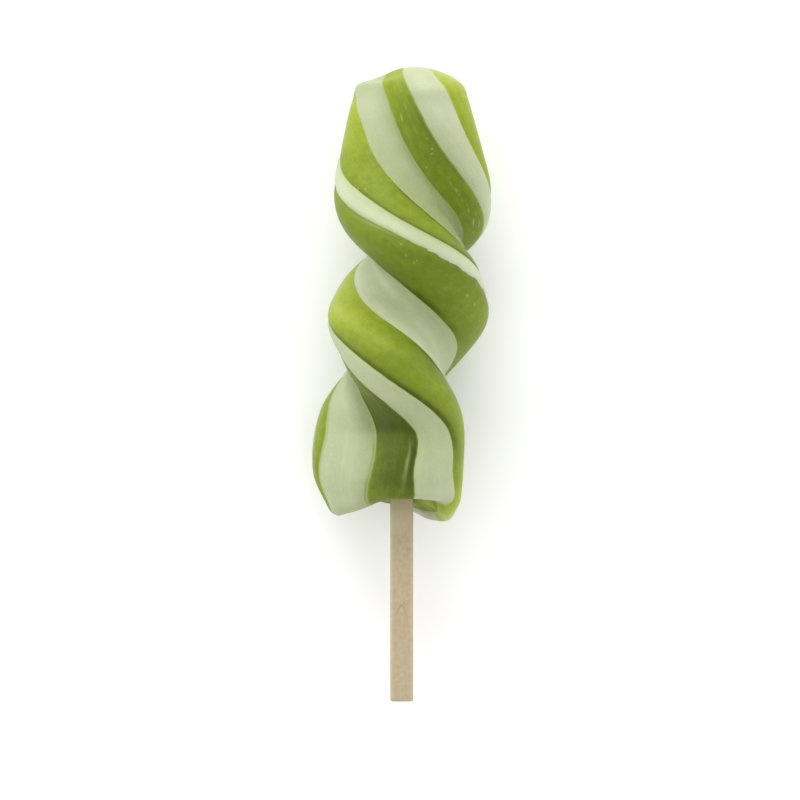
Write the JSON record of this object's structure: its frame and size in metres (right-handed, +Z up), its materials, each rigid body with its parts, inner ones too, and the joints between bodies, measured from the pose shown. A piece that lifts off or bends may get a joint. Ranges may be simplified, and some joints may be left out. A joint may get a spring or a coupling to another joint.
{
  "type": "swirl lollipop",
  "caption": "Twisted boiled-sugar lollipop: a thick green candy bar with pale stripes let into it, turned about a full turn, on a square wooden stick.",
  "frame": {"origin": "on the surface the lollipop lies on, under the middle of its box", "axes": "+Y along the stick towards the crown of the candy, +X to the right of the shown face, +Z up out of the shown face"},
  "size_m": [0.0396, 0.1378, 0.0375],
  "materials": {
    "green_candy": "glossy translucent boiled sugar",
    "pale_candy": "satin opaque pulled sugar",
    "stick_wood": "plain unvarnished pale wood"
  },
  "bodies": {
    "root": {"candy_body": "green_candy", "pale_stripe_1": "pale_candy", "pale_stripe_2": "pale_candy", "pale_stripe_3": "pale_candy", "pale_stripe_4": "pale_candy", "stick": "stick_wood"}
  },
  "joints": []
}
